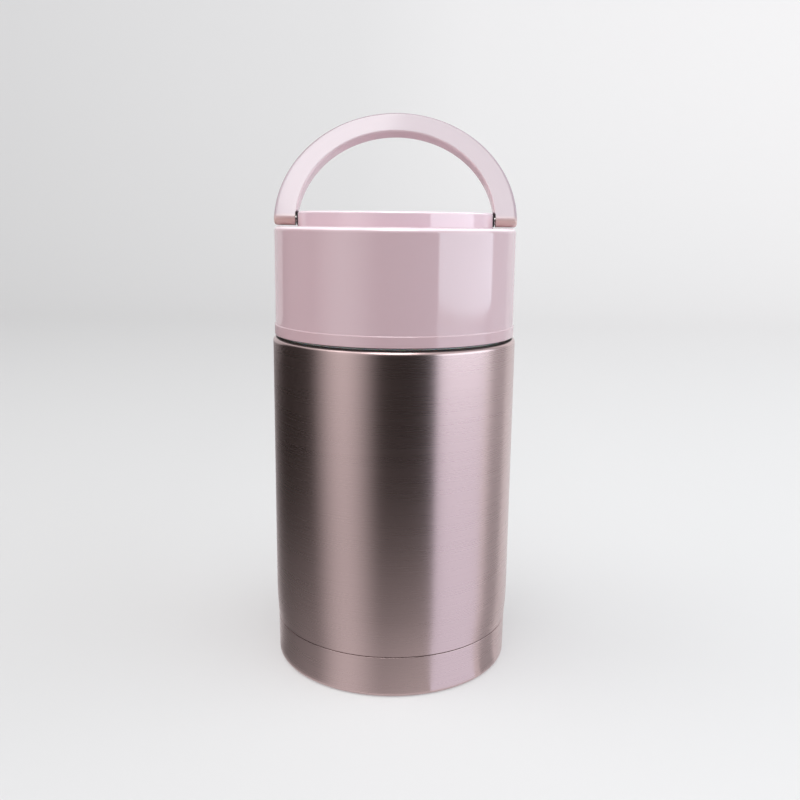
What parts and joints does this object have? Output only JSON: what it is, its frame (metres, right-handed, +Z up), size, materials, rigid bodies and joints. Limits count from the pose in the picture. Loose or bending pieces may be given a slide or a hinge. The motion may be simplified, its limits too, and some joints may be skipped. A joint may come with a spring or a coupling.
{
  "type": "insulated food jar",
  "caption": "Insulated steel food jar with a screw-on bowl lid, a folding half-ring handle, and a screw-on stopper with a push-button steam vent.",
  "frame": {"origin": "centre of the ring that the jar stands on, at the standing surface", "axes": "+Z up along the jar's centre line, X along the handle's pivot axis, -Y towards the front, away from which the handle leans"},
  "size_m": [0.1, 0.1, 0.2287],
  "materials": {
    "brushed_body": "brushed round the body, rose tint",
    "plain_steel": "satin",
    "foil": "thin bright foil",
    "getter_grey": "matt",
    "pale_plastic": "fine satin",
    "foam": "closed-cell foam",
    "silicone": "soft, slightly translucent",
    "dark_rubber": "matt",
    "rose_plastic": "gloss",
    "pink_plastic": "gloss"
  },
  "bodies": {
    "jar": {"outer_shell": "brushed_body", "inner_vessel": "plain_steel", "radiation_foil": "foil", "vacuum_base": "plain_steel", "getter": "getter_grey", "exhaust_seal": "getter_grey", "base_cap": "brushed_body"},
    "stopper_filling": {"stopper_foam": "foam"},
    "stopper_ring": {"stopper_gasket": "silicone"},
    "stopper": {"stopper_cap": "pale_plastic", "stopper_cup": "pale_plastic", "vent_spring": "plain_steel"},
    "vent": {"vent_button": "rose_plastic", "vent_stem": "plain_steel", "vent_seal": "silicone"},
    "lid_filling": {"lid_foam": "foam"},
    "lid_ring": {"lid_gasket": "silicone"},
    "lid": {"lid_shell": "pink_plastic", "lid_liner": "pink_plastic", "pivot_washer_left": "dark_rubber", "pivot_washer_right": "dark_rubber"},
    "handle": {"handle": "pink_plastic", "pivot_pin_left": "plain_steel", "pivot_pin_right": "plain_steel"}
  },
  "joints": [
    {"name": "stopper_lift", "type": "slide", "parent": "jar", "child": "stopper_filling", "axis": [0, 0, 1], "range_m": [0, 0.07]},
    {"name": "stopper_rise", "type": "slide", "parent": "stopper_filling", "child": "stopper_ring", "axis": [0, 0, 1], "range_m": [0, 0.006]},
    {"name": "stopper_turn", "type": "hinge", "parent": "stopper_ring", "child": "stopper", "pos_m": [0, 0, 0.15], "axis": [0, 0, 1], "range_deg": [0, 360]},
    {"name": "vent_press", "type": "slide", "parent": "stopper", "child": "vent", "axis": [0, 0, -1], "range_m": [0, 0.0025], "stiffness_N_per_m": 400, "springref_m": -0.0025, "deforming": ["vent_spring"]},
    {"name": "lid_lift", "type": "slide", "parent": "stopper", "child": "lid_filling", "axis": [0, 0, 1], "range_m": [0, 0.06]},
    {"name": "lid_rise", "type": "slide", "parent": "lid_filling", "child": "lid_ring", "axis": [0, 0, 1], "range_m": [0, 0.006]},
    {"name": "lid_turn", "type": "hinge", "parent": "lid_ring", "child": "lid", "pos_m": [0, 0, 0.16], "axis": [0, 0, 1], "range_deg": [0, 360]},
    {"name": "handle_fold", "type": "hinge", "parent": "lid", "child": "handle", "pos_m": [0, 0, 0.1846], "axis": [1, 0, 0], "range_deg": [-61.5, 118.5]}
  ],
  "couplings": [
    {"joint": "stopper_rise", "follows": "stopper_turn", "m_per_rad": 0.00095493},
    {"joint": "lid_rise", "follows": "lid_turn", "m_per_rad": 0.00095493}
  ]
}
